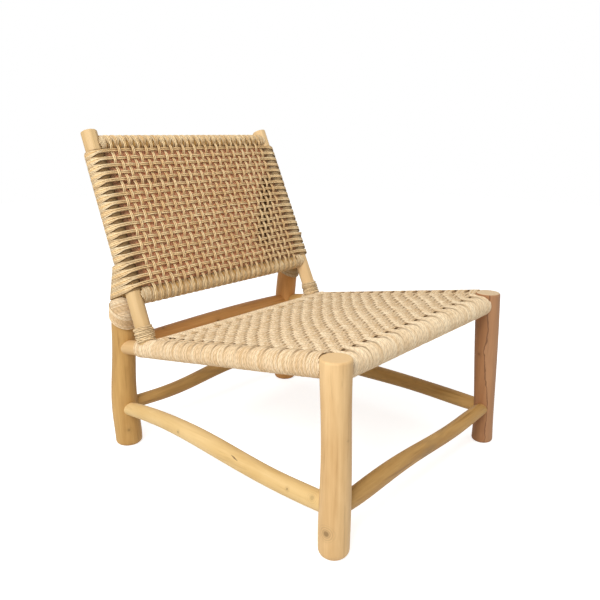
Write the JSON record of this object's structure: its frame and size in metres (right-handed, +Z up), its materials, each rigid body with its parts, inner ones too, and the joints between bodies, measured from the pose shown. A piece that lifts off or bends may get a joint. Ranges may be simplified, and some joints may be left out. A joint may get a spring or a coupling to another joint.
{
  "type": "lounge chair",
  "caption": "Low armless lounge chair of peeled natural logs with a basket woven cord seat and a leaning, two-layer woven cord back panel.",
  "frame": {"origin": "on the floor, under the middle of the whole chair's box", "axes": "+Z up, the sitter faces -Y, +X is the sitter's left"},
  "size_m": [0.6509, 0.7888, 0.7535],
  "materials": {
    "wood_light": "peeled natural teak branch, sanded, matte",
    "wood_honey": "peeled natural teak branch, sanded, matte",
    "wood_brown": "peeled natural teak branch, sanded, matte",
    "wood_whittled": "peeled natural teak branch, sanded, matte",
    "seat_cord": "twisted natural grass cord, matte",
    "back_cord": "twisted natural grass cord, matte",
    "lashing_cord": "fine twisted cord, matte",
    "screw_steel": "zinc plated"
  },
  "bodies": {
    "root": {"front_leg_right": "wood_light", "front_leg_left": "wood_brown", "rear_leg_right": "wood_light", "rear_leg_left": "wood_brown", "front_seat_rail": "wood_honey", "side_seat_rail_right": "wood_light", "side_seat_rail_left": "wood_honey", "rear_seat_rail": "wood_honey", "rear_cross_rail": "wood_brown", "back_post_right": "wood_whittled", "back_post_left": "wood_whittled", "back_top_rail": "wood_honey", "back_bottom_rail": "wood_honey", "front_stretcher": "wood_honey", "side_stretcher_right": "wood_light", "side_stretcher_left": "wood_brown", "rear_stretcher": "wood_brown", "post_screws": "screw_steel", "seat_weave": "seat_cord", "back_weave": "back_cord", "post_lashing_right": "lashing_cord", "post_lashing_left": "lashing_cord", "leg_lashing_right": "seat_cord", "leg_lashing_left": "back_cord"}
  },
  "joints": []
}
